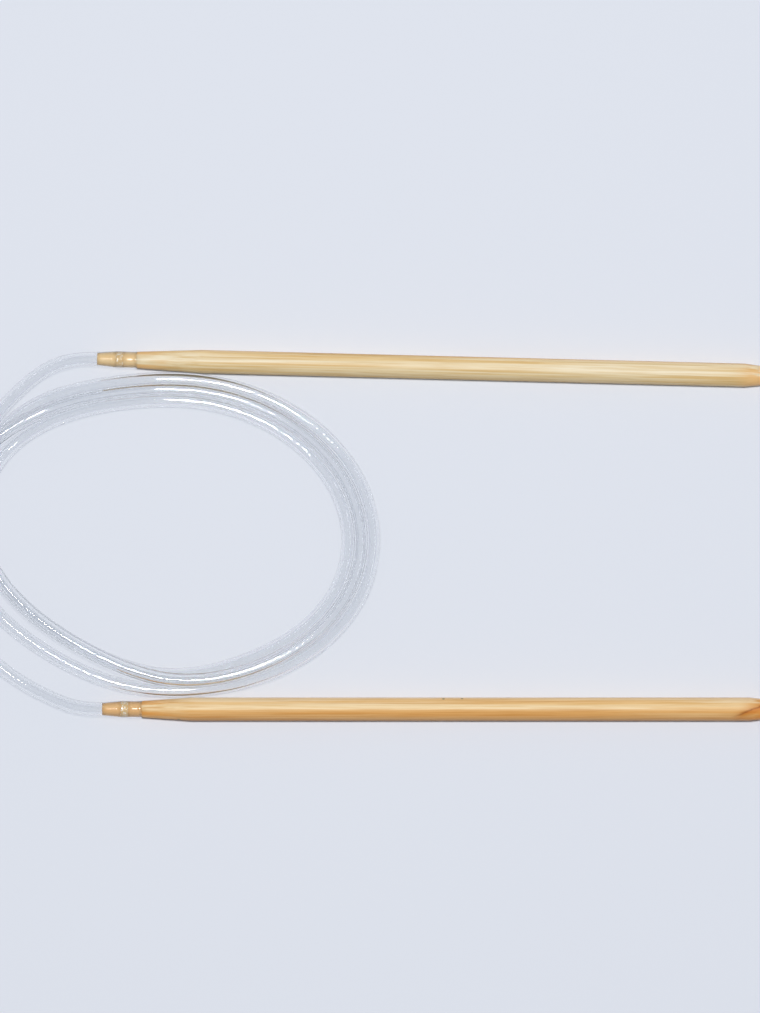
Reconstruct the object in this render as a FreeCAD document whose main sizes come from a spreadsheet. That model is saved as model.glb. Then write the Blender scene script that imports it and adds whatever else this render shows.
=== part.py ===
import FreeCAD, Part
import math
import os
import Sketcher
from FreeCAD import Placement, Rotation, Vector

# A circular knitting needle: two turned bamboo needles joined by one clear plastic tube.
# +X runs from the tube's end of the needles to their points, +Y to the left needle and +Z up.
# The origin is the middle of the two needles' box, on the surface they lie on.

doc = FreeCAD.newDocument("circular_knitting_needle")

# ---------------------------------------------------------------- driving sizes, in mm and degrees
SIZES = {
    # the turned bamboo needles
    "NeedleDia": 4.5,        # the needle's size, which sets the stitch
    "ShaftLength": 131.5,    # from the shoulder, where the tube stops, to the point
    "TipLength": 14.0,       # the tapered part that ends in the point
    "TipDia": 1.3,           # the round end of the point
    "ShoulderDia": 3.2,      # the needle's back face, and the stretched tube flush with it
    "LeftConeLength": 12.5,  # from the shoulder to the full diameter
    "RightConeLength": 9.5,
    # the spigot that the tube is pushed over
    "SpigotLength": 7.6,
    "BarbLength": 3.6,       # the cone at the spigot's end, which stretches the tube
    "BarbDia": 1.95,
    "GrooveLength": 1.4,     # the groove behind the cone, which holds the adhesive
    "GrooveDia": 1.6,
    # the tube
    "TubeDia": 2.7,
    "TubeBore": 1.5,
    # how the two needles lie
    "NeedleGap": 62.66,      # between the shafts, measured where the left one is furthest out
    "Stagger": 0.97,         # the right needle lies this far ahead of the left one
    "LeftTilt": 1.44,        # the left needle's point leans this far towards the right one
    # the coil
    "CoilReach": 0.5,        # its outline runs this far outside its passes' centre lines
    "CoilClear": 0.93,       # free width from the outline to each needle's shaft, which leaves
                             # room for what slides over the shaft
    "PassPlay": 0.85,        # half the free width between the outer and the inner pass
    "CoilEdge": 1.2,         # the rounding of the coil's outline, top and bottom
}

sheet = doc.addObject("Spreadsheet::Sheet", "Sizes")
for row, (alias, value) in enumerate(SIZES.items(), start=1):
    sheet.set(f"A{row}", alias)
    sheet.set(f"B{row}", str(value))
    sheet.setAlias(f"B{row}", alias)
doc.recompute()


def size(alias):
    """The value of one named cell of the sheet."""
    return float(sheet.get(alias))


# ---------------------------------------------------------------- turned pieces

def total(aliases):
    """Sum of named sizes, as a number and as an expression; a leading minus subtracts."""
    value = sum(-size(a[1:]) if a.startswith("-") else size(a) for a in aliases)
    text = " + ".join(f"-1 * Sizes.{a[1:]}" if a.startswith("-") else f"Sizes.{a}" for a in aliases)
    return value, text


def origin_plane(body, role):
    """The body's own origin plane with this role."""
    return next(f for f in body.Origin.OriginFeatures if f.Role == role)


def place_point(sketch, edge, end, station):
    """Fix one end of an edge at a station: distance along the axis, diameter there."""
    along, diameter = station
    x_value, x_text = total(along or [])
    if along is None:
        pass                                # the round nose sets this distance
    elif along:
        row = sketch.addConstraint(Sketcher.Constraint("DistanceX", -1, 1, edge, end, x_value))
        sketch.setExpression(f"Constraints[{row}]", x_text)
    else:
        sketch.addConstraint(Sketcher.Constraint("PointOnObject", edge, end, -2))
    if diameter:
        row = sketch.addConstraint(Sketcher.Constraint("DistanceY", -1, 1, edge, end, size(diameter) / 2))
        sketch.setExpression(f"Constraints[{row}]", f"Sizes.{diameter} / 2")
    else:
        sketch.addConstraint(Sketcher.Constraint("PointOnObject", edge, end, -1))


def turned_body(label, stations, round_nose=False):
    """A body of revolution about its own X axis, from a closed outline of stations.

    Each station is (named distances that add up along X, named diameter or None on the axis).
    With round_nose the edge from the second-last station to the last one is a quarter circle, which
    sets how far along the second-last one is.
    """
    body = doc.addObject("PartDesign::Body", label)
    sketch = body.newObject("Sketcher::SketchObject", f"{label}_outline")
    sketch.AttachmentSupport = [(origin_plane(body, "XY_Plane"), "")]
    sketch.MapMode = "FlatFace"
    corners = [Vector(total(a or [])[0], size(d) / 2 if d else 0, 0) for a, d in stations]
    count = len(corners)
    if round_nose:
        corners[-2].x = corners[-1].x - corners[-2].y
    for i, corner in enumerate(corners):
        following = corners[(i + 1) % count]
        if round_nose and i == count - 2:
            centre = Vector(corner.x, 0, 0)
            circle = Part.Circle(centre, Vector(0, 0, 1), corner.y)
            sketch.addGeometry(Part.ArcOfCircle(circle, 0, math.pi / 2), False)
        else:
            sketch.addGeometry(Part.LineSegment(corner, following), False)
    # an arc is drawn anticlockwise, so its start is the station on the axis
    start = [2 if round_nose and i == count - 2 else 1 for i in range(count)]
    finish = [3 - s for s in start]
    for i in range(count):
        after = (i + 1) % count
        sketch.addConstraint(Sketcher.Constraint("Coincident", i, finish[i], after, start[after]))
    for i, station in enumerate(stations):
        place_point(sketch, i, start[i], station)
    if round_nose:
        nose = count - 2
        sketch.addConstraint(Sketcher.Constraint("PointOnObject", nose, 3, -1))
        sketch.addConstraint(Sketcher.Constraint("Vertical", nose, 3, nose, start[nose]))
    turning = body.newObject("PartDesign::Revolution", f"{label}_turning")
    turning.Profile = sketch
    turning.ReferenceAxis = (sketch, ["H_Axis"])
    turning.Angle = 360
    body.Tip = turning
    body.Label = label
    return body


def needle(label, cone_length):
    """One needle, from the spigot's end at its own origin to the point along +X."""
    point = ["SpigotLength", "ShaftLength"]
    return turned_body(label, [
        ([], None),
        ([], "TubeBore"),
        (["BarbLength"], "BarbDia"),
        (["BarbLength"], "GrooveDia"),
        (["BarbLength", "GrooveLength"], "GrooveDia"),
        (["BarbLength", "GrooveLength"], "BarbDia"),
        (["SpigotLength"], "BarbDia"),
        (["SpigotLength"], "ShoulderDia"),
        (["SpigotLength", cone_length], "NeedleDia"),
        (point + ["-TipLength"], "NeedleDia"),
        (None, "TipDia"),
        (point, None),
    ], round_nose=True)


def adhesive(label):
    """The ring of set adhesive that fills the spigot's groove inside the tube."""
    return turned_body(label, [
        (["BarbLength"], "GrooveDia"),
        (["BarbLength"], "BarbDia"),
        (["BarbLength", "GrooveLength"], "BarbDia"),
        (["BarbLength", "GrooveLength"], "GrooveDia"),
    ])


def sleeve(label):
    """The end of the tube, stretched over the spigot up to the needle's shoulder."""
    return turned_body(label, [
        ([], "TubeBore"),
        ([], "TubeDia"),
        (["BarbLength"], "ShoulderDia"),
        (["SpigotLength"], "ShoulderDia"),
        (["SpigotLength"], "BarbDia"),
        (["BarbLength"], "BarbDia"),
    ])


def lay(body, spigot_x, spigot_y, tilt):
    """Lay a turned body down with its spigot's end at this place and its point turned by tilt."""
    body.Placement = Placement(Vector(), Rotation(Vector(0, 0, -1), 1))
    body.setExpression("Placement.Base.x", spigot_x)
    body.setExpression("Placement.Base.y", spigot_y)
    body.setExpression("Placement.Base.z", "Sizes.NeedleDia / 2")
    body.setExpression("Placement.Rotation.Angle", tilt)


# The box over both needles is centred on the origin: the left needle's spigot is its back end, the
# right needle's point its front end, and the left needle is widest where its cone ends.
OVERALL = "(Sizes.SpigotLength + Sizes.ShaftLength + Sizes.Stagger)"
LEFT = (
    f"-1 * {OVERALL} / 2",
    "Sizes.NeedleGap / 2 + Sizes.NeedleDia - Sizes.NeedleDia / 2 * cos(Sizes.LeftTilt * 1 deg)"
    " + (Sizes.SpigotLength + Sizes.LeftConeLength) * sin(Sizes.LeftTilt * 1 deg)",
    "Sizes.LeftTilt * 1 deg",
)
RIGHT = (
    f"Sizes.Stagger - {OVERALL} / 2",
    "-1 * (Sizes.NeedleGap + Sizes.NeedleDia) / 2",
    "0 deg",
)

left_needle = needle("left_needle", "LeftConeLength")
right_needle = needle("right_needle", "RightConeLength")
left_adhesive = adhesive("left_adhesive")
right_adhesive = adhesive("right_adhesive")
left_sleeve = sleeve("left_sleeve")
right_sleeve = sleeve("right_sleeve")
for piece in (left_needle, left_adhesive, left_sleeve):
    lay(piece, *LEFT)
for piece in (right_needle, right_adhesive, right_sleeve):
    lay(piece, *RIGHT)
doc.recompute()

# ---------------------------------------------------------------- the coil's oval
# The tube's stored length is wound into a loose oval coil, three passes across, which lies just
# behind the needles' spigots and fits between their shafts. Its places are measured from the left
# spigot's end.
CORD_X = left_needle.Placement.Base.x
COIL_BACK = -25.0
COIL_Y = 0.2
COIL_LAYERS = 2


def half_gap(angle):
    """Half the distance between the outer and the inner pass, which pinch together at the front."""
    degrees = math.degrees(angle) % 360
    pinch = 0.55 * math.exp(-((degrees - 275) / 22) ** 2)
    apart = size("TubeDia") / 2 + size("PassPlay")
    return apart + 0.2 * math.cos(2 * angle) + 0.05 * math.cos(angle) - pinch


def oval_shape(angle):
    """The loose oval's shape: distance from its centre to the middle of its band, a round plus waves."""
    return (32.6 + 0.3 * math.cos(angle) + 0.2 * math.sin(angle)
            + 4.9 * math.cos(2 * angle) - 1.15 * math.sin(2 * angle)
            - 0.2 * math.cos(3 * angle) + 0.6 * math.sin(3 * angle)
            + 0.6 * math.cos(4 * angle) - 0.45 * math.sin(4 * angle))


# The oval is as large as fits between the needles, measured at its left side.
LEFT_SIDE = math.pi / 2
ROOM = size("NeedleGap") / 2 - size("CoilClear") - size("CoilReach") - half_gap(LEFT_SIDE)
OVAL_SCALE = ROOM / oval_shape(LEFT_SIDE)
COIL_X = COIL_BACK + OVAL_SCALE * oval_shape(math.pi)
print(f"oval: scale {OVAL_SCALE:.4f}, centre {COIL_X:.3f} mm from the left spigot's end")


def oval_point(angle, offset):
    """A point of the band: the oval's point moved outwards along its normal by offset."""
    def on_oval(a):
        r = OVAL_SCALE * oval_shape(a)
        return Vector(CORD_X + COIL_X + r * math.cos(a), COIL_Y + r * math.sin(a), 0)

    step = 0.001
    along = (on_oval(angle + step) - on_oval(angle - step)).normalize()
    return on_oval(angle) + Vector(along.y, -along.x, 0) * offset


def spread(angle):
    """How much further out the band reaches at its back end, where the passes change places."""
    return 2.4 * max(0.0, -math.cos(angle)) ** 6


def band_outline(side):
    """The coil's outer (side 1) or inner (side -1) outline, a closed smooth curve."""
    stations = 48
    points = []
    for i in range(stations):
        angle = 2 * math.pi * i / stations
        extra = spread(angle) if side > 0 else 0.0
        offset = side * (half_gap(angle) + size("CoilReach")) + extra
        points.append(oval_point(angle, offset))
    curve = Part.BSplineCurve()
    curve.interpolate(points, PeriodicFlag=True)
    return Part.Wire(curve.toShape())


def coil_solid():
    """The coil's outer shape: the band between its two outlines, two layers high, edges rounded."""
    band = Part.Face(band_outline(1)).cut(Part.Face(band_outline(-1))).Faces[0]
    ring = band.extrude(Vector(0, 0, COIL_LAYERS * size("TubeDia")))
    rims = [edge for edge in ring.Edges if len(edge.Vertexes) == 1]
    return ring.makeFillet(size("CoilEdge"), rims)


coil = doc.addObject("Part::Feature", "coil")
coil.Shape = coil_solid()
coil.Label = "tube_coil"

# ---------------------------------------------------------------- the tube from spigot to coil
# Chosen points of each lead, in mm: x and y from its own spigot's end, and the height above the
# tube's lowest course, on which it rests on the surface. A lead leaves its spigot straight, comes
# down to the surface and swings round into the coil's back end.
LEFT_LEAD_POINTS = [
    (-6.4, -0.5, 0.75),
    (-10.4, -2.2, 0.4),
    (-14.6, -5.5, 0.1),
    (-18.8, -9.8, 0.0),
    (-22.3, -14.5, 0.0),
    (-25.2, -19.6, 0.0),
    (-27.3, -25.1, 0.0),
]
RIGHT_LEAD_POINTS = [
    (-6.2, 0.6, 0.75),
    (-10.2, 2.2, 0.4),
    (-14.9, 4.6, 0.1),
    (-19.9, 8.0, 0.0),
    (-24.2, 12.1, 0.0),
    (-27.8, 17.3, 0.25),
    (-30.0, 23.3, 1.2),
    (-30.5, 28.2, 2.1),
]
EXIT_RUN = 2.6          # the tube's straight run out of a spigot
ARC_SHARE = 0.45        # an arc takes this share of the shorter of its two runs, at each end


def lead_route(spigot, points):
    """All the points of one lead: out of the spigot along its axis, then the chosen points."""
    mouth = spigot.Placement.Base
    out = spigot.Placement.Rotation.multVec(Vector(-1, 0, 0))
    lowest = size("TubeDia") / 2
    chosen = [Vector(mouth.x + x, mouth.y + y, lowest + rise) for x, y, rise in points]
    return [mouth, mouth + out * EXIT_RUN] + chosen


def rounded_path(points, name):
    """Straight runs joined by tangent arcs, as one wire; prints each arc's radius."""
    edges = []
    radii = []
    start = points[0]
    for before, corner, after in zip(points, points[1:], points[2:]):
        into = corner - before
        out = after - corner
        trim = ARC_SHARE * min(into.Length, out.Length)
        half_turn = into.getAngle(out) / 2
        radius = trim / math.tan(half_turn)
        first = corner - into.normalize() * trim
        last = corner + out.normalize() * trim
        inward = (first + last - corner * 2).normalize()
        middle = corner + inward * (radius / math.cos(half_turn) - radius)
        edges.append(Part.LineSegment(start, first).toShape())
        edges.append(Part.Arc(first, middle, last).toShape())
        radii.append(radius)
        start = last
    edges.append(Part.LineSegment(start, points[-1]).toShape())
    print(f"{name}: arc radii in mm", [round(r, 1) for r in radii])
    return Part.Wire(edges)


def swept_tube(label, path, diameter):
    """A round bar of a named diameter along the path."""
    ring = doc.addObject("Part::Circle", f"{label}_section")
    ring.setExpression("Radius", f"Sizes.{diameter} / 2")
    first = path.Shape.OrderedEdges[0]
    ring.Placement = Placement(path.Shape.OrderedVertexes[0].Point,
                               Rotation(Vector(0, 0, 1), first.tangentAt(first.FirstParameter)))
    bar = doc.addObject("Part::Sweep", label)
    bar.Sections = [ring]
    bar.Spine = (path, [f"Edge{i + 1}" for i in range(len(path.Shape.Edges))])
    bar.Solid = True
    bar.Frenet = False
    return bar


def lead(label, spigot, tube_end, points):
    """One lead: the hollow tube along its route, in one piece with its stretched end."""
    path = doc.addObject("Part::Feature", f"{label}_path")
    path.Shape = rounded_path(lead_route(spigot, points), label)
    outside = swept_tube(f"{label}_outside", path, "TubeDia")
    bore = swept_tube(f"{label}_bore", path, "TubeBore")
    hollow = doc.addObject("Part::Cut", f"{label}_hollow")
    hollow.Base = outside
    hollow.Tool = bore
    joined = doc.addObject("Part::Fuse", f"{label}_joined")
    joined.Base = tube_end
    joined.Tool = hollow
    joined.Label = label
    return joined, hollow, path


left_lead, left_hollow, left_path = lead("left_lead", left_needle, left_sleeve, LEFT_LEAD_POINTS)
right_lead, right_hollow, right_path = lead("right_lead", right_needle, right_sleeve, RIGHT_LEAD_POINTS)
doc.recompute()

# ---------------------------------------------------------------- checks and files
NODES = [left_needle, right_needle, left_adhesive, right_adhesive, left_lead, right_lead, coil]

for item in doc.Objects:
    bad = {"Invalid", "Error"} & set(item.State)
    if bad:
        raise RuntimeError(f"{item.Label} failed: {bad}")
for node in NODES:
    if node.Shape.isNull() or not node.Shape.isValid() or len(node.Shape.Solids) != 1:
        raise RuntimeError(f"{node.Label} is not one valid solid")

wall_section = math.pi / 4 * (size("TubeDia") ** 2 - size("TubeBore") ** 2)
for hollow, path in ((left_hollow, left_path), (right_hollow, right_path)):
    expected = wall_section * path.Shape.Length
    if abs(hollow.Shape.Volume - expected) > 0.01 * expected:
        raise RuntimeError(f"{hollow.Label}: volume {hollow.Shape.Volume}, expected {expected}")
    print(f"{path.Label}: {path.Shape.Length:.1f} mm long")

os.makedirs("parts", exist_ok=True)
for node in NODES:
    node.Shape.exportStep(f"parts/{node.Label}.step")
    box = node.Shape.BoundBox
    print(f"{node.Label}: {node.Shape.Volume:.1f} mm3, x {box.XMin:.2f} to {box.XMax:.2f}, "
          f"y {box.YMin:.2f} to {box.YMax:.2f}, z {box.ZMin:.2f} to {box.ZMax:.2f}")
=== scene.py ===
# %% [markdown]
# # A circular knitting needle
# Two turned bamboo needles share one long clear tube, whose spare length lies wound in a loose oval
# coil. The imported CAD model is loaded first: it says where everything is, and its nodes are then
# replaced one by one with finished surfaces.

# %% Load the frame
import math
import bpy
import numpy as np
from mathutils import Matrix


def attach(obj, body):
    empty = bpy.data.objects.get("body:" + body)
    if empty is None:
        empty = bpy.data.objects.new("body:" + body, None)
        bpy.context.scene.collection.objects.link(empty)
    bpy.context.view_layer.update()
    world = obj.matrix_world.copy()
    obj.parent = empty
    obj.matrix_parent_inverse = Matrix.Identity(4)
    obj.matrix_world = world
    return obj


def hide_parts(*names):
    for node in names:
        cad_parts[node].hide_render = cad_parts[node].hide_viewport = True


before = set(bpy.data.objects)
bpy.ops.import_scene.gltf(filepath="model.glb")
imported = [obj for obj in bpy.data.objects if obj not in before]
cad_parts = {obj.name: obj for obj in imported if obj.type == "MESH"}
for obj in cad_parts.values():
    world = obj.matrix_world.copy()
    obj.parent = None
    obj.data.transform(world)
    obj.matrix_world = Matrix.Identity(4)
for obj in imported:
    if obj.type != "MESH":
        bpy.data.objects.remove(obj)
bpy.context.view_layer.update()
MM = 0.001

# %% [markdown]
# ## Mesh and material helpers
# Each piece is a grid of points worked out with numpy: one direction runs along the piece and the
# other round it. One function turns such a grid into a mesh.

# %% A grid of points becomes a mesh
def grid_mesh(name, points, closed_rows=False, caps=False):
    """Faces between neighbouring points of an array (rows, columns, 3).

    Columns always close into a ring. Rows close too where closed_rows is set. With caps, a fan
    about the mean of its ring closes each end. Corner (i, j) of a face is point i * columns + j.
    """
    rows, columns, _ = points.shape
    count = rows if closed_rows else rows - 1
    i, j = np.meshgrid(np.arange(count), np.arange(columns), indexing="ij")
    i2, j2 = (i + 1) % rows, (j + 1) % columns
    corners = [i * columns + j, i2 * columns + j, i2 * columns + j2, i * columns + j2]
    vertices, faces = points.reshape(-1, 3), np.stack(corners, axis=-1).reshape(-1, 4).tolist()
    if caps:
        ring, last = np.arange(columns), (rows - 1) * columns
        after = (ring + 1) % columns
        middle = len(vertices)
        vertices = np.vstack([vertices, points[0].mean(axis=0), points[-1].mean(axis=0)])
        faces += [(middle, a, b) for a, b in zip(ring.tolist(), after.tolist())]
        faces += [(middle + 1, last + b, last + a) for a, b in zip(ring.tolist(), after.tolist())]
    mesh = bpy.data.meshes.new(name)
    mesh.from_pydata(vertices, [], faces)
    mesh.polygons.foreach_set("use_smooth", np.ones(len(mesh.polygons), dtype=bool))
    mesh.update()
    return mesh


def add_piece(name, mesh, material, replaced):
    """Puts the mesh in the scene as a piece that rides on the one body and replaces CAD nodes."""
    piece = bpy.data.objects.new(name, mesh)
    bpy.context.collection.objects.link(piece)
    mesh.materials.append(material)
    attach(piece, "root")
    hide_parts(*replaced)
    print(f"{name}: {len(mesh.vertices)} points, {len(mesh.polygons)} faces")
    return piece


# %% Colours and shader nodes
def colour(hex_code):
    """sRGB hex to linear: c / 12.92 below 0.04045, else ((c + 0.055) / 1.055) ** 2.4."""
    c = np.array([int(hex_code[k:k + 2], 16) for k in (1, 3, 5)]) / 255
    linear = np.where(c <= 0.04045, c / 12.92, ((c + 0.055) / 1.055) ** 2.4)
    return (*linear.tolist(), 1.0)


def node(tree, kind, settings=None, **links):
    """Adds one shader node.

    settings sets its properties, or a colour ramp's stops. Each link is an input and its value, or
    the socket that feeds it. The input goes by its name, with _ for a space, or by its number (i0,
    i1, ...) where several share a name, as a Mix node's two colours do (i6 and i7).
    """
    made = tree.nodes.new(kind)
    for key, value in (settings or {}).items():
        if key == "stops":
            elements = made.color_ramp.elements
            while len(elements) < len(value):
                elements.new(0.5)
            for element, (position, shade) in zip(elements, value):
                element.position, element.color = position, colour(shade)
        else:
            setattr(made, key, value)
    for key, value in links.items():
        numbered = key[0] == "i" and key[1:].isdigit()
        socket = made.inputs[int(key[1:]) if numbered else key.replace("_", " ")]
        if isinstance(value, bpy.types.NodeSocket):
            tree.links.new(value, socket)
        else:
            socket.default_value = value
    return made


def new_material(name):
    """An empty node material; returns it with its tree and its output node."""
    material = bpy.data.materials.new(name)
    material.use_nodes = True
    tree = material.node_tree
    tree.nodes.clear()
    return material, tree, tree.nodes.new("ShaderNodeOutputMaterial")


# %% [markdown]
# ## Camera, floor and light
# The needle lies on a plain pale surface, and the camera looks straight down on it through a long
# lens, so that nothing leans. The coil's back end and the needles' points reach a little past
# the view.

# %% Camera and floor
VIEW_CENTRE = (-15.41 * MM, 5.57 * MM)
VIEW_HEIGHT = 196.05 * MM
CAMERA_DISTANCE = 1.4
NEAREST_SHOWN = 0.01
SENSOR = 36.0                                     # mm

camera_data = bpy.data.cameras.new("Camera")
camera_data.sensor_fit = "VERTICAL"
camera_data.sensor_height = SENSOR
camera_data.lens = SENSOR * CAMERA_DISTANCE / VIEW_HEIGHT
camera_data.clip_start = NEAREST_SHOWN
camera = bpy.data.objects.new("Camera", camera_data)
camera.location = (*VIEW_CENTRE, CAMERA_DISTANCE)
bpy.context.collection.objects.link(camera)
bpy.context.scene.camera = camera

FLOOR_HALF = 1.6
floor_mesh = bpy.data.meshes.new("floor")
floor_mesh.from_pydata([(sx * FLOOR_HALF, sy * FLOOR_HALF, 0.0) for sx, sy in
                        ((-1, -1), (1, -1), (1, 1), (-1, 1))], [], [(0, 1, 2, 3)])
floor = bpy.data.objects.new("floor", floor_mesh)
bpy.context.collection.objects.link(floor)
print(f"camera: lens {camera_data.lens:.1f} mm, floor {2 * FLOOR_HALF} m across")

# %% [markdown]
# The surface is matt white board. One small softbox hangs nearly overhead, a little towards the far
# side, so only a hairline of shadow shows along the near side of each needle. The room adds a
# little light from everywhere. Two narrow strips, one on each side, draw lines of sheen along the
# tube and add no light to the board.

# %% Floor finish and lights
board, tree, out = new_material("matt white board")
shader = node(tree, "ShaderNodeBsdfPrincipled", Base_Color=colour("#E3E7F0"), Roughness=0.9,
              Specular_IOR_Level=0.1)
tree.links.new(shader.outputs[0], out.inputs["Surface"])
floor_mesh.materials.append(board)

ROOM_LIGHT = 0.2
world = bpy.data.worlds.new("soft surroundings")
world.use_nodes = True
surroundings = world.node_tree.nodes["Background"]
surroundings.inputs["Color"].default_value = colour("#EEF3FA")
surroundings.inputs["Strength"].default_value = ROOM_LIGHT
bpy.context.scene.world = world


def area_light(name, place, target, width, height, power, sheen_only=False):
    """A rectangular soft light at place that faces target; power in watts.

    No lamp is seen through the clear tube. A sheen_only lamp shows in glossy surfaces and leaves
    matt ones as they are.
    """
    data = bpy.data.lights.new(name, "AREA")
    data.shape = "RECTANGLE"
    data.size, data.size_y, data.energy = width, height, power
    lamp = bpy.data.objects.new(name, data)
    way = np.subtract(target, place)
    turn = math.atan2(way[1], way[0]) - math.pi / 2
    lamp.rotation_euler = (math.acos(-way[2] / np.linalg.norm(way)), 0.0, turn)
    lamp.location = place
    lamp.visible_transmission = False
    lamp.visible_diffuse = not sheen_only
    bpy.context.collection.objects.link(lamp)


SOFTBOX_PLACE, SOFTBOX_TARGET = (-0.03, 0.16, 1.45), (-0.015, 0.0, 0.0)
SOFTBOX_SIZE, SOFTBOX_WATTS = 0.15, 16.5
area_light("small softbox", SOFTBOX_PLACE, SOFTBOX_TARGET, SOFTBOX_SIZE, SOFTBOX_SIZE,
           SOFTBOX_WATTS)
STRIP_SIZE, STRIP_WATTS, STRIP_TARGET = (0.9, 0.1), 2.0, (-0.05, 0.0, 0.0)
STRIP_PLACES = {"right strip": (0.75, 0.12, 1.25), "left strip": (-0.8, 0.55, 1.2)}
for label, strip_place in STRIP_PLACES.items():
    area_light(label, strip_place, STRIP_TARGET, *STRIP_SIZE, STRIP_WATTS, sheen_only=True)
print(f"softbox {SOFTBOX_SIZE} m wide, {len(STRIP_PLACES)} strips, room light {ROOM_LIGHT}")
scene = bpy.context.scene
scene.view_settings.view_transform = "Standard"

# %% [markdown]
# A hollow tube bends light at four surfaces, and three passes of it lie on each other, so a ray
# needs many more bends than usual before it gives up.

# %% How far light is followed
MOST_BENDS = 32
scene.cycles.max_bounces = MOST_BENDS
scene.cycles.transmission_bounces = MOST_BENDS
scene.cycles.transparent_max_bounces = MOST_BENDS
scene.cycles.caustics_reflective = False
scene.cycles.caustics_refractive = False

# %% [markdown]
# ## The tube's line
# The tube leaves the left needle, comes down to the surface, swings round into the coil, makes
# three turns and goes back to the right needle. Its line is one smooth curve with a few given
# points for each lead. The coil's turns come from a loop: each point stands on a loose oval, moved
# outwards by its lane, and raised by its level where it comes over an earlier turn.

# %% Sizes shared by the needles and the tube, in mm
NEEDLE_DIA, SHAFT_LENGTH, TIP_LENGTH, TIP_DIA = 4.5, 131.5, 14.0, 1.3
SHOULDER_DIA, LEFT_CONE, RIGHT_CONE = 3.2, 12.5, 9.5
SPIGOT_LENGTH, BARB_LENGTH, BARB_DIA = 7.6, 3.6, 1.95
GROOVE_LENGTH, GROOVE_DIA = 1.4, 1.6
TUBE_DIA, TUBE_BORE = 2.7, 1.5
NEEDLE_GAP, STAGGER, LEFT_TILT = 62.66, 0.97, math.radians(1.44)

OVERALL = SPIGOT_LENGTH + SHAFT_LENGTH + STAGGER
LEFT_MOUTH = np.array([
    -OVERALL / 2,
    NEEDLE_GAP / 2 + NEEDLE_DIA - NEEDLE_DIA / 2 * math.cos(LEFT_TILT)
    + (SPIGOT_LENGTH + LEFT_CONE) * math.sin(LEFT_TILT),
    NEEDLE_DIA / 2])
RIGHT_MOUTH = np.array([STAGGER - OVERALL / 2, -(NEEDLE_GAP + NEEDLE_DIA) / 2, NEEDLE_DIA / 2])
LEFT_WAY = np.array([math.cos(LEFT_TILT), -math.sin(LEFT_TILT), 0.0])
RIGHT_WAY = np.array([1.0, 0.0, 0.0])
print("tube mouths in mm:", LEFT_MOUTH.round(3), RIGHT_MOUTH.round(3))

# %% The two leads' points: mm from their own mouths, with the height above the lowest course
LOWEST = TUBE_DIA / 2
EXIT_RUN = 2.6                                    # mm of straight tube out of each mouth
LEFT_LEAD = [(-6.4, -0.5, 0.75), (-10.4, -2.2, 0.4), (-14.6, -5.5, 0.1), (-18.8, -9.8, 0.0),
             (-22.3, -14.5, 0.0), (-25.2, -19.6, 0.0), (-27.3, -25.1, 0.0)]
RIGHT_LEAD = [(-6.2, 0.6, 0.75), (-10.2, 2.2, 0.4), (-14.9, 4.6, 0.1), (-19.9, 8.0, 0.0),
              (-24.2, 12.1, 0.0), (-27.8, 17.3, 0.25), (-30.0, 23.3, 1.2), (-30.5, 28.2, 2.1)]


def lead_points(mouth, way, chosen):
    """The mouth, a straight run out of it, then the chosen points."""
    steps = np.array(chosen)
    return np.vstack([mouth, mouth - EXIT_RUN * way,
                      np.column_stack([mouth[:2] + steps[:, :2], LOWEST + steps[:, 2]])])


# %% The coil's turns
COIL_AHEAD, COIL_Y = 13.0, 0.2                    # mm, the coil's middle, ahead of the left mouth
COIL_CENTRE = LEFT_MOUTH[:2] + (COIL_AHEAD, COIL_Y - LEFT_MOUTH[1])
FIRST_ANGLE, LAST_ANGLE, TURN_POINTS = 180.0, 1260.0, 24
STEP_ANGLE = 360 / TURN_POINTS
TOUCHING = 2.86      # passes rest on each other at this distance, a little over the tube's diameter
GROWN = 1.0065       # the smooth line cuts inside its points by this share
OVAL_RADIUS = 32.6
OVAL_WAVES = ((0.3, 0.2), (4.9, -1.15), (-0.2, 0.6), (0.6, -0.45))
SMALL_ANGLE = 0.001


def oval_shape(a):
    """The loose oval: a mean radius plus, for k = 1 to 4, waves of cos and sin of k times a."""
    radius = OVAL_RADIUS
    for k, (even, odd) in enumerate(OVAL_WAVES, 1):
        radius = radius + even * math.cos(k * a) + odd * math.sin(k * a)
    return radius


def oval_point(a, offset):
    """The oval's point at angle a, moved outwards along its normal by offset."""
    def on_oval(t):
        return COIL_CENTRE + oval_shape(t) * np.array([math.cos(t), math.sin(t)])

    along = on_oval(a + SMALL_ANGLE) - on_oval(a - SMALL_ANGLE)
    along /= np.linalg.norm(along)
    return on_oval(a) + offset * np.array([along[1], -along[0]])


HALF_GAP, HALF_GAP_WAVES = 2.2, (0.05, 0.2)       # mm, the mean and its waves
PINCH, PINCH_ANGLE, PINCH_WIDTH = 0.55, 275, 22   # mm, then degrees


def half_gap(degrees):
    """Half the distance between the outer and the inner pass: a mean, two waves and a pinch, which
    is a bell curve round one angle."""
    a = math.radians(degrees)
    pinch = PINCH * math.exp(-((degrees % 360 - PINCH_ANGLE) / PINCH_WIDTH) ** 2)
    once, twice = HALF_GAP_WAVES
    return HALF_GAP + twice * math.cos(2 * a) + once * math.cos(a) - pinch


def ease(x, start, end):
    """0 before start, 1 after end, and 3u^2 - 2u^3 between them."""
    u = min(1.0, max(0.0, (x - start) / (end - start)))
    return u * u * (3 - 2 * u)


# Degrees of winding over which the tube changes lane, and two distances in mm
INTO_OUTER, INTO_INNER = (160, 215), (493, 560)
INTO_MIDDLE, TO_RIGHT_LEAD = (965, 1015), (1213, 1290)
ENTRY_OUTSIDE, SWING_OUT = 1.0, 6.4


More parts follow.
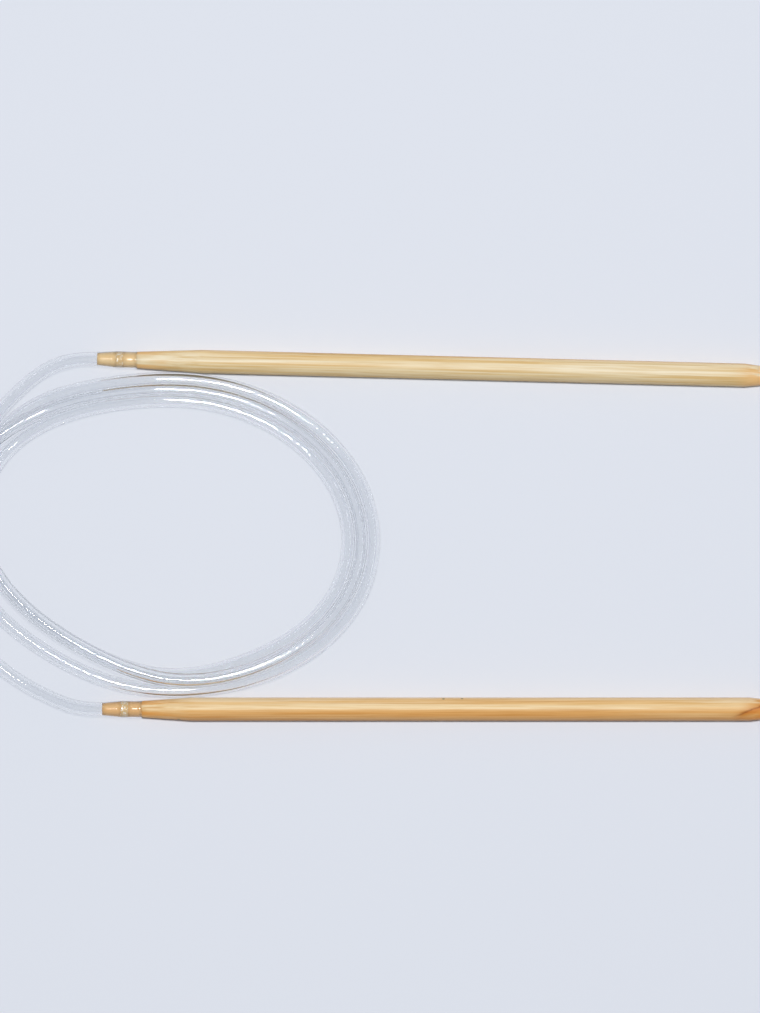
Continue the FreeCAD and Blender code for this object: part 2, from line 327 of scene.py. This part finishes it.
def lane(winding):
    """How far outside the oval the tube lies: first the outer pass, then the inner one, then the
    raised one between them, which swings out at the end towards the right lead."""
    gap = half_gap(winding)
    if winding <= INTO_INNER[0]:
        return gap + ENTRY_OUTSIDE - ENTRY_OUTSIDE * ease(winding, *INTO_OUTER)
    if winding <= INTO_MIDDLE[0]:
        return gap * (1 - 2 * ease(winding, *INTO_INNER))
    return -gap * (1 - ease(winding, *INTO_MIDDLE)) + SWING_OUT * ease(winding, *TO_RIGHT_LEAD)


def level(winding):
    """Height above the lowest course. Over an earlier turn at height h and a distance d beside it,
    the tube rests at h plus the square root of TOUCHING^2 - d^2. The leads are not counted."""
    height = 0.0
    below = winding - 360
    while below >= FIRST_ANGLE - STEP_ANGLE:
        beside = abs(lane(winding) - lane(below))
        if beside < TOUCHING:
            height = max(height, level(below) + math.sqrt(TOUCHING ** 2 - beside ** 2))
        below -= 360
    return height


def coil_points():
    """One point per step of winding, anticlockwise from the coil's back end."""
    points = []
    for k in range(round((LAST_ANGLE - FIRST_ANGLE) / STEP_ANGLE) + 1):
        winding = FIRST_ANGLE + STEP_ANGLE * k
        flat = oval_point(math.radians(winding), lane(winding))
        flat = COIL_CENTRE + (flat - COIL_CENTRE) * GROWN
        points.append((*flat, LOWEST + level(winding)))
    return np.array(points)


route = np.vstack([lead_points(LEFT_MOUTH, LEFT_WAY, LEFT_LEAD), coil_points(),
                   lead_points(RIGHT_MOUTH, RIGHT_WAY, RIGHT_LEAD)[::-1]])
print(f"route: {len(route)} points, heights {route[:, 2].min():.2f} to {route[:, 2].max():.2f} mm")

# %% The smooth line through the route
def smooth_line(points_mm, steps=10):
    """The points of an order-3 NURBS curve with these control points, in mm."""
    curve = bpy.data.curves.new("tube line", "CURVE")
    curve.dimensions = "3D"
    spline = curve.splines.new("NURBS")
    spline.points.add(len(points_mm) - 1)
    weighted = np.column_stack([points_mm, np.ones(len(points_mm))])
    spline.points.foreach_set("co", weighted.reshape(-1))
    spline.order_u = 3
    spline.use_endpoint_u = True
    curve.resolution_u = steps
    holder = bpy.data.objects.new("tube line", curve)
    bpy.context.collection.objects.link(holder)
    bpy.context.view_layer.update()
    mesh = bpy.data.meshes.new_from_object(holder)
    found = np.empty(len(mesh.vertices) * 3)
    mesh.vertices.foreach_get("co", found)
    bpy.data.objects.remove(holder)
    bpy.data.curves.remove(curve)
    bpy.data.meshes.remove(mesh)
    return found.reshape(-1, 3)


line = smooth_line(route)
free_length = np.linalg.norm(np.diff(line, axis=0), axis=1).sum()
print(f"tube line: {len(line)} points, {free_length:.1f} mm from mouth to mouth")

# %% [markdown]
# ## The clear tube
# The tube is extruded clear PVC with a bore. Its wall is modelled inside and out, because the
# dark edges and the bright lines along it come from light that bends at both surfaces. At each
# end it runs on over the needle's spigot and is stretched by the barb.

# %% The tube's full line, with its two stretched ends
END_STEP = 0.2                                    # mm between rings over a spigot
over = np.arange(END_STEP, SPIGOT_LENGTH + END_STEP / 2, END_STEP)
full = np.vstack([LEFT_MOUTH + over[::-1, None] * LEFT_WAY, line,
                  RIGHT_MOUTH + over[:, None] * RIGHT_WAY])
past_mouth = np.concatenate([over[::-1], np.zeros(len(line)), over])
print(f"full line: {len(full)} points")


def wall_radius(past, free, stretched):
    """Radius of a wall from its diameters: free outside the spigot, growing along the barb, then
    stretched. past is the distance beyond the mouth."""
    share = np.clip(past / BARB_LENGTH, 0, 1)
    return (free + (stretched - free) * share) / 2


def across_frames(points):
    """Two unit vectors across the line at each point: a level one, and one square to it and to
    the line."""
    along = np.gradient(points, axis=0)
    along /= np.linalg.norm(along, axis=1, keepdims=True)
    across = np.cross(along, (0.0, 0.0, 1.0))
    across /= np.linalg.norm(across, axis=1, keepdims=True)
    return across, np.cross(across, along)


def tube_rings(points, radii, columns):
    """Circles round the line: point + radius * (across * cos t + up * sin t)."""
    across, up = across_frames(points)
    t = (2 * np.pi * np.arange(columns) / columns)[None, :, None]
    spokes = across[:, None, :] * np.cos(t) + up[:, None, :] * np.sin(t)
    return points[:, None, :] + radii[:, None, None] * spokes


TUBE_COLUMNS = 40
outer = tube_rings(full, wall_radius(past_mouth, TUBE_DIA, SHOULDER_DIA), TUBE_COLUMNS)
CONTACT = 0.1        # over a spigot the wood is this much thicker than the bore, so no air shows
inner = tube_rings(full, wall_radius(past_mouth, TUBE_BORE, BARB_DIA - CONTACT), TUBE_COLUMNS)
shell = np.vstack([outer, inner[::-1]]) * MM
tube_mesh = grid_mesh("clear tube", shell, closed_rows=True)

# %% Clear PVC
# A smooth, slightly cold clear plastic that bends light. Light that goes through the tube's
# middle to the board passes almost whole, and light that meets its rim is bent away. So the rays
# that gather light go straight through, and their colour falls from the middle to the rim.
pvc, tree, out = new_material("clear soft PVC")
shader = node(tree, "ShaderNodeBsdfPrincipled", Base_Color=colour("#FCFDFE"), Roughness=0.0,
              IOR=1.53, Transmission_Weight=1.0)
facing = node(tree, "ShaderNodeLayerWeight", Blend=0.5)
passed = node(tree, "ShaderNodeValToRGB", {"stops": [
    (0.0, "#FFFFFF"), (0.5, "#FFFFFF"), (0.76, "#EEF0F3"), (0.9, "#B0B6BE"), (1.0, "#8E959E")]},
    Fac=facing.outputs["Facing"])
let_through = node(tree, "ShaderNodeBsdfTransparent", Color=passed.outputs["Color"])
rays = node(tree, "ShaderNodeLightPath")
to_lamps = node(tree, "ShaderNodeMixShader", i0=rays.outputs["Is Shadow Ray"],
                i1=shader.outputs[0], i2=let_through.outputs[0])
to_room = node(tree, "ShaderNodeMixShader", i0=rays.outputs["Is Diffuse Ray"],
               i1=to_lamps.outputs[0], i2=let_through.outputs[0])
tree.links.new(to_room.outputs[0], out.inputs["Surface"])
tube = add_piece("clear_tube", tube_mesh, pvc,
                 ["left_lead", "right_lead", "tube_coil"])

# %% [markdown]
# ## The bamboo needles
# Each needle is a strip of bamboo turned on a lathe, sanded and waxed. Its profile is a list of
# radii along its axis, and the surface turns that profile about the axis.

# %% The needles' profile
CHAMFER = 0.15                                    # mm, the shoulder's broken edge
NOSE_STATIONS = 9


def needle_profile(cone):
    """Distance along the axis and radius, in mm, from the spigot's end to the point."""
    point = SPIGOT_LENGTH + SHAFT_LENGTH
    groove_end = BARB_LENGTH + GROOVE_LENGTH
    stations = [(0.0, TUBE_BORE / 2), (BARB_LENGTH, BARB_DIA / 2), (BARB_LENGTH, GROOVE_DIA / 2),
                (groove_end, GROOVE_DIA / 2), (groove_end, BARB_DIA / 2),
                (SPIGOT_LENGTH, BARB_DIA / 2), (SPIGOT_LENGTH, SHOULDER_DIA / 2 - CHAMFER),
                (SPIGOT_LENGTH + CHAMFER, SHOULDER_DIA / 2),
                (SPIGOT_LENGTH + cone, NEEDLE_DIA / 2), (point - TIP_LENGTH, NEEDLE_DIA / 2),
                (point - TIP_DIA / 2, TIP_DIA / 2)]
    t = np.linspace(0, np.pi / 2, NOSE_STATIONS)[1:-1]
    nose = np.column_stack([point - TIP_DIA / 2 + TIP_DIA / 2 * np.sin(t),
                            TIP_DIA / 2 * np.cos(t)])
    return np.vstack([stations, nose])


def finer(profile, step=1.0):
    """The profile with extra stations, so that no run is longer than step."""
    rows = [profile[:1]]
    for a, b in zip(profile[:-1], profile[1:]):
        parts = max(1, math.ceil(np.linalg.norm(b - a) / step))
        rows.append(a + (b - a) * (np.arange(1, parts + 1) / parts)[:, None])
    return np.vstack(rows)


def lathe(profile, mouth, way, columns=64):
    """Turns (x, r) about the needle's axis: mouth + x * way + r * (side * cos t + up * sin t)."""
    up = np.array([0.0, 0.0, 1.0])
    side = np.cross(way, up)
    t = 2 * np.pi * np.arange(columns) / columns
    spokes = np.cos(t)[:, None] * side + np.sin(t)[:, None] * up
    return (mouth + profile[:, :1] * way)[:, None, :] + profile[:, 1][:, None, None] * spokes


# %% [markdown]
# Bamboo has no rings. It is pale tissue with bundles of fibres that run straight along it, about
# half a millimetre apart and closer together near the culm's skin, where it is also more orange.
# The pattern is worked out in the needle's own space, in mm, so a cone cuts through the bundles
# as a lathe does and shows them as long points.

# %% Bamboo
BUNDLE_SPACING, BUNDLE_LENGTH = 0.55, 60.0       # mm
TONE_WIDTH, TONE_LENGTH = 1.1, 75.0              # mm, soft bands of lighter and darker tissue
FIBRE_WIDTH, FIBRE_LENGTH = 0.32, 14.0           # mm, drawn a little coarser than real fibres
BACK_CUT = 8.0                                   # mm of the back cone that the cut colours
FRONT_CUT = SPIGOT_LENGTH + SHAFT_LENGTH - TIP_LENGTH         # where the taper starts
FRONT_CUT_BLEND = 3.0                            # mm to each side of it
SPIGOT_BLEND, SHEEN_BLEND = 0.1, 0.2             # mm, where bare wood gives way to waxed wood
BARE_ROUGHNESS, WAXED_ROUGHNESS = 0.25, 0.46
FIBRE_RELIEF = 0.05                              # mm
# A slanting mark on the taper, where the cut meets the skin side, along the line
# y = SCARF_LOW + SCARF_SLOPE * (x - SCARF_START)
SCARF_SLOPE, SCARF_START, SCARF_LOW = 0.39, 123.2, -0.85
SCARF_LINE = SCARF_LOW - SCARF_SLOPE * SCARF_START
SCARF_BELOW, SCARF_ABOVE = 0.7, 1.7              # mm of colour to each side of that line
SCARF_FADE = (121.0, 124.0)                      # mm along the needle


def bamboo(name, mouth, tilt, across, tones, specks, seed, scarf=False):
    """Turned, sanded and waxed bamboo.

    across lists colours from the needle's right side to its left side; the right side, away from
    the softbox, is darker, partly the wood's own tone and partly painted shade. tones names the
    tints: bundle for the fibre bundles, band for the darker tissue, cut where the lathe cut across
    the fibres, and spigot for the bare wood under the tube. specks lists dark dots as x, y, z and
    width in mm. A scarf is a slanting brown mark on the taper.
    """
    material, tree, out = new_material(name)
    turned = (math.cos(tilt) * mouth[0] - math.sin(tilt) * mouth[1],
              math.sin(tilt) * mouth[0] + math.cos(tilt) * mouth[1], mouth[2])
    place = node(tree, "ShaderNodeTexCoord")
    local = node(tree, "ShaderNodeMapping", Vector=place.outputs["Object"], Scale=(1 / MM,) * 3,
                 Rotation=(0.0, 0.0, tilt), Location=tuple(-v for v in turned)).outputs[0]
    parts = node(tree, "ShaderNodeSeparateXYZ", Vector=local)
    side = node(tree, "ShaderNodeMapRange", Value=parts.outputs["Y"], From_Min=-NEEDLE_DIA / 2,
                From_Max=NEEDLE_DIA / 2)
    # The colour across the needle is darker on the right side, away from the softbox: partly the
    # wood's own tone and partly painted shade.
    body = node(tree, "ShaderNodeValToRGB", {"stops": across}, Fac=side.outputs[0])

    # Three patterns, each drawn out along the needle
    bundle_space = node(tree, "ShaderNodeMapping", Vector=local, Location=(seed, seed, 0.0),
                        Scale=(1 / BUNDLE_LENGTH, 1 / BUNDLE_SPACING, 1 / BUNDLE_SPACING))
    bundles = node(tree, "ShaderNodeTexVoronoi", Vector=bundle_space.outputs[0], Scale=1.0)
    tone_space = node(tree, "ShaderNodeMapping", Vector=local, Location=(seed, seed, 0.0),
                      Scale=(1 / TONE_LENGTH, 1 / TONE_WIDTH, 1 / TONE_WIDTH))
    tone = node(tree, "ShaderNodeTexNoise", Vector=tone_space.outputs[0], Scale=1.0, Detail=3.0)
    fibre_space = node(tree, "ShaderNodeMapping", Vector=local, Location=(seed, seed, 0.0),
                       Scale=(1 / FIBRE_LENGTH, 1 / FIBRE_WIDTH, 1 / FIBRE_WIDTH))
    fibres = node(tree, "ShaderNodeTexNoise", Vector=fibre_space.outputs[0], Scale=1.0, Detail=3.0,
                  Roughness=0.6)

    # Their tints, one over the other
    soft = {"interpolation_type": "SMOOTHSTEP"}
    blend, darken = {"data_type": "RGBA"}, {"data_type": "RGBA", "blend_type": "MULTIPLY"}
    in_bundle = node(tree, "ShaderNodeMapRange", soft, Value=bundles.outputs["Distance"],
                     From_Min=0.1, From_Max=0.5, To_Min=0.8, To_Max=0.0)
    in_band = node(tree, "ShaderNodeMapRange", soft, Value=tone.outputs[0],
                   From_Min=0.42, From_Max=0.6, To_Min=0.0, To_Max=0.85)
    in_fibre = node(tree, "ShaderNodeMapRange", soft, Value=fibres.outputs[0],
                    From_Min=0.42, From_Max=0.62, To_Min=0.0, To_Max=0.8)
    shade = node(tree, "ShaderNodeMix", blend, i0=in_bundle.outputs[0], i6=body.outputs["Color"],
                 i7=colour(tones["bundle"]))
    shade = node(tree, "ShaderNodeMix", darken, i0=in_band.outputs[0], i6=shade.outputs[2],
                 i7=colour(tones["band"]))
    shade = node(tree, "ShaderNodeMix", darken, i0=in_fibre.outputs[0], i6=shade.outputs[2],
                 i7=colour("#F0E4CE"))

    # The two ends, where the cut crosses the fibres
    back_end = node(tree, "ShaderNodeMapRange", soft, Value=parts.outputs["X"],
                    From_Min=SPIGOT_LENGTH, From_Max=SPIGOT_LENGTH + BACK_CUT,
                    To_Min=0.9, To_Max=0.0)
    front_end = node(tree, "ShaderNodeMapRange", soft, Value=parts.outputs["X"],
                     From_Min=FRONT_CUT - FRONT_CUT_BLEND, From_Max=FRONT_CUT + FRONT_CUT_BLEND,
                     To_Min=0.0, To_Max=0.9)
    ends = node(tree, "ShaderNodeMath", {"operation": "MAXIMUM"}, i0=back_end.outputs[0],
                i1=front_end.outputs[0])
    flame = node(tree, "ShaderNodeMapRange", soft, Value=tone.outputs[0], From_Min=0.37,
                 From_Max=0.5)
    cut = node(tree, "ShaderNodeMath", {"operation": "MULTIPLY"}, i0=ends.outputs[0],
               i1=flame.outputs[0])
    shade = node(tree, "ShaderNodeMix", blend, i0=cut.outputs[0], i6=shade.outputs[2],
                 i7=colour(tones["cut"]))
    if scarf:
        rise = node(tree, "ShaderNodeVectorMath", {"operation": "DOT_PRODUCT"}, i0=local,
                    i1=(-SCARF_SLOPE, 1.0, 0.0))
        ragged = node(tree, "ShaderNodeMath", {"operation": "ADD"}, i0=rise.outputs["Value"],
                      i1=fibres.outputs[0])
        height = node(tree, "ShaderNodeMapRange", Value=ragged.outputs[0],
                      From_Min=SCARF_LINE - SCARF_BELOW, From_Max=SCARF_LINE + SCARF_ABOVE)
        mark = node(tree, "ShaderNodeValToRGB", {"stops": [
            (0.0, "#FBEEDA"), (0.25, "#F2D6AA"), (0.38, "#EAC690"), (0.48, "#B8905E"),
            (0.62, "#F4E6D2"), (1.0, "#FFFFFF")]}, Fac=height.outputs[0])
        shown = node(tree, "ShaderNodeMapRange", soft, Value=parts.outputs["X"],
                     From_Min=SCARF_FADE[0], From_Max=SCARF_FADE[1])
        shade = node(tree, "ShaderNodeMix", darken, i0=shown.outputs[0], i6=shade.outputs[2],
                     i7=mark.outputs["Color"])
    for x, y, z, wide in specks:
        far = node(tree, "ShaderNodeVectorMath", {"operation": "DISTANCE"}, i0=local, i1=(x, y, z))
        spot = node(tree, "ShaderNodeMapRange", Value=far.outputs["Value"], From_Min=wide / 2,
                    From_Max=wide, To_Min=0.8, To_Max=0.0)
        shade = node(tree, "ShaderNodeMix", blend, i0=spot.outputs[0], i6=shade.outputs[2],
                     i7=colour("#6F6A4C"))
    bare = node(tree, "ShaderNodeMapRange", Value=parts.outputs["X"],
                From_Min=SPIGOT_LENGTH - SPIGOT_BLEND, From_Max=SPIGOT_LENGTH,
                To_Min=0.8, To_Max=0.0)
    shade = node(tree, "ShaderNodeMix", blend, i0=bare.outputs[0], i6=shade.outputs[2],
                 i7=colour(tones["spigot"]))

    # Wax leaves a soft sheen, and the sanded fibres stand up a little
    sheen = node(tree, "ShaderNodeMapRange", Value=parts.outputs["X"],
                 From_Min=SPIGOT_LENGTH - SHEEN_BLEND, From_Max=SPIGOT_LENGTH + SHEEN_BLEND,
                 To_Min=BARE_ROUGHNESS, To_Max=WAXED_ROUGHNESS)
    grain = node(tree, "ShaderNodeBump", Strength=0.25, Distance=FIBRE_RELIEF * MM,
                 Height=fibres.outputs[0])
    shader = node(tree, "ShaderNodeBsdfPrincipled", Base_Color=shade.outputs[2],
                  Roughness=sheen.outputs[0], Specular_IOR_Level=0.32, Normal=grain.outputs[0])
    tree.links.new(shader.outputs[0], out.inputs["Surface"])
    print(f"{name}: {len(tree.nodes)} nodes")
    return material


# In each list of colours below, the first stops, on the needle's right side away from the softbox,
# are darker partly as painted shade.
pale_bamboo = bamboo(
    "pale waxed bamboo", LEFT_MOUTH, LEFT_TILT,
    [(0.0, "#DCC8A0"), (0.3, "#E9D6AE"), (0.55, "#F1E4C6"), (0.78, "#FAE9C6"), (0.92, "#FFE8BE"),
     (1.0, "#F8D09A")],
    {"bundle": "#E2C691", "band": "#F6E6C6", "cut": "#EDBC7C", "spigot": "#F0D09C"}, [], 0.0)
warm_bamboo = bamboo(
    "warm waxed bamboo", RIGHT_MOUTH, 0.0,
    [(0.0, "#C99862"), (0.15, "#E4B478"), (0.38, "#EBC084"), (0.55, "#F1D5A3"), (0.8, "#F9E0B6"),
     (1.0, "#F8DAB0")],
    {"bundle": "#DBAA69", "band": "#F7E2BE", "cut": "#E2A052", "spigot": "#EBBE86"},
    [(65.9, 2.0, 1.0, 0.35), (69.5, 2.05, 0.9, 0.3), (14.8, -2.0, 0.6, 0.45)], 7.0, scarf=True)
for label, cone, mouth, way, material, slot in (
        ("left", LEFT_CONE, LEFT_MOUTH, LEFT_WAY, pale_bamboo, "bamboo_pale"),
        ("right", RIGHT_CONE, RIGHT_MOUTH, RIGHT_WAY, warm_bamboo, "bamboo_warm")):
    rings = lathe(finer(needle_profile(cone)), mouth, way) * MM
    add_piece(f"{label}_bamboo_needle", grid_mesh(f"{label} needle", rings, caps=True), material,
              [f"{label}_needle"])

# %% [markdown]
# ## The set adhesive
# A drop of clear glue fills the groove of each spigot and locks the tube. It sets with small
# bubbles and an uneven, glossy skin. The glossy skin gives real glints under the tube, and the
# bubbles are pale flecks in its colour, a painted highlight for their glints.

# %% Adhesive
BUBBLE = 0.45                                     # mm between bubbles
SKIN_RELIEF = 0.15                                # mm
glue, tree, out = new_material("clear set adhesive")
place = node(tree, "ShaderNodeTexCoord")
in_bubbles = node(tree, "ShaderNodeMapping", Vector=place.outputs["Object"],
                  Scale=(1 / MM / BUBBLE,) * 3)
bubbles = node(tree, "ShaderNodeTexVoronoi", Vector=in_bubbles.outputs[0], Scale=1.0)
bubble_glint_mask = node(tree, "ShaderNodeMapRange", Value=bubbles.outputs["Distance"],
                   From_Min=0.2, From_Max=0.45, To_Min=1.0, To_Max=0.0)
# Pale flecks at the bubbles are a painted highlight: they stand in for the glints of light off
# trapped air.
glue_tint_and_glints = node(tree, "ShaderNodeMix", {"data_type": "RGBA"}, i0=bubble_glint_mask.outputs[0],
            i6=colour("#E2C08A"), i7=colour("#FBF4E4"))
uneven = node(tree, "ShaderNodeBump", Strength=0.6, Distance=SKIN_RELIEF * MM,
              Height=bubbles.outputs["Distance"])
shader = node(tree, "ShaderNodeBsdfPrincipled", Base_Color=glue_tint_and_glints.outputs[2], Roughness=0.12,
              IOR=1.8, Normal=uneven.outputs[0])
tree.links.new(shader.outputs[0], out.inputs["Surface"])

GLUE_PROUD = 0.04                                 # mm, so that it shows through the tube's wall
ring_profile = np.array([(BARB_LENGTH, GROOVE_DIA / 2), (BARB_LENGTH, BARB_DIA / 2 + GLUE_PROUD),
                         (BARB_LENGTH + GROOVE_LENGTH, BARB_DIA / 2 + GLUE_PROUD),
                         (BARB_LENGTH + GROOVE_LENGTH, GROOVE_DIA / 2)])
for label, mouth, way in (("left", LEFT_MOUTH, LEFT_WAY), ("right", RIGHT_MOUTH, RIGHT_WAY)):
    rings = lathe(finer(np.vstack([ring_profile, ring_profile[:1]]), 0.25)[:-1], mouth, way) * MM
    add_piece(f"{label}_glue_ring", grid_mesh(f"{label} glue", rings, closed_rows=True), glue,
              [f"{label}_adhesive"])
